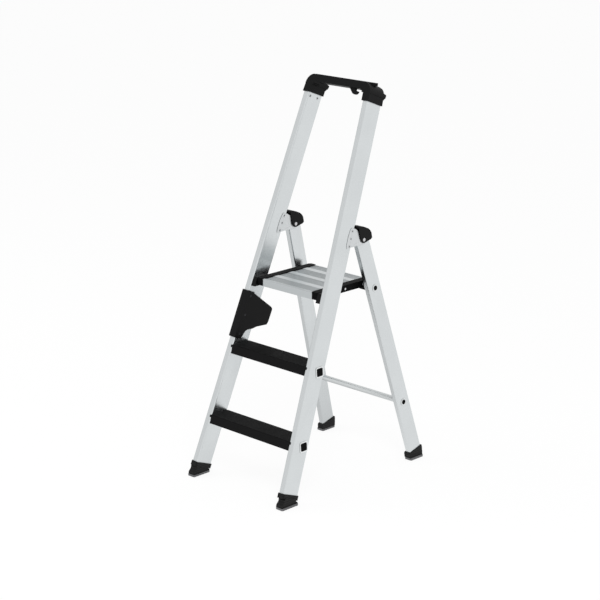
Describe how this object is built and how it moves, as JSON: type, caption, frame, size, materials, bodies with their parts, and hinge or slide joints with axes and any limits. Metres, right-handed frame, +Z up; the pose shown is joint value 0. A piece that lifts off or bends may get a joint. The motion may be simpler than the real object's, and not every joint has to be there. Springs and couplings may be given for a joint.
{
  "type": "platform step stool",
  "caption": "Folding aluminium step stool with ribbed treads, a tip-up platform, a hinged rear frame and a high handle bridge.",
  "frame": {"origin": "on the floor, in the middle of the box around the open stool", "axes": "+Z up, +X to the right of a person who climbs, -Y towards that person; the rear frame is on the +Y side"},
  "size_m": [0.46, 0.702, 1.34],
  "materials": {
    "frame_aluminium": "satin natural extrusion",
    "tube_aluminium": "satin",
    "bracket_aluminium": "satin sheet",
    "deck_aluminium": "satin, ribbed",
    "rivet_aluminium": "satin",
    "fastener_steel": "zinc plated",
    "tread_plastic": "matt, ribbed",
    "black_plastic": "fine grain",
    "bush_plastic": "smooth",
    "sole_rubber": "matt"
  },
  "bodies": {
    "front_frame": {"left_rail": "frame_aluminium", "right_rail": "frame_aluminium", "lower_rung": "tube_aluminium", "upper_rung": "tube_aluminium", "lower_tread": "tread_plastic", "upper_tread": "tread_plastic", "rung_plugs": "black_plastic", "handle_bridge": "black_plastic", "bridge_rivets": "rivet_aluminium", "carrying_grip": "black_plastic", "grip_screws": "fastener_steel", "left_hinge_bracket": "bracket_aluminium", "right_hinge_bracket": "bracket_aluminium", "hinge_rivets": "rivet_aluminium", "hinge_pins": "fastener_steel", "left_platform_rest": "black_plastic", "right_platform_rest": "black_plastic", "rest_screws": "fastener_steel", "left_front_shoe": "black_plastic", "right_front_shoe": "black_plastic", "left_front_sole": "sole_rubber", "right_front_sole": "sole_rubber"},
    "rear_frame": {"left_rear_leg": "frame_aluminium", "right_rear_leg": "frame_aluminium", "left_leg_cap": "black_plastic", "right_leg_cap": "black_plastic", "hinge_bushes": "bush_plastic", "cross_bar": "tube_aluminium", "cross_bar_plugs": "black_plastic", "platform_axle": "tube_aluminium", "axle_plugs": "black_plastic", "axle_spacers": "black_plastic", "left_rear_shoe": "black_plastic", "right_rear_shoe": "black_plastic", "left_rear_sole": "sole_rubber", "right_rear_sole": "sole_rubber"},
    "platform": {"platform_deck": "deck_aluminium", "left_side_cap": "black_plastic", "right_side_cap": "black_plastic", "deck_rivets": "rivet_aluminium"}
  },
  "joints": [
    {"name": "rear_frame_fold", "type": "hinge", "parent": "front_frame", "child": "rear_frame", "pos_m": [0, 0.09, 0.8245], "axis": [-1, 0, 0], "range_deg": [0, 37]},
    {"name": "platform_fold", "type": "hinge", "parent": "rear_frame", "child": "platform", "pos_m": [0, 0.1416, 0.6487], "axis": [-1, 0, 0], "range_deg": [0, 60]}
  ]
}
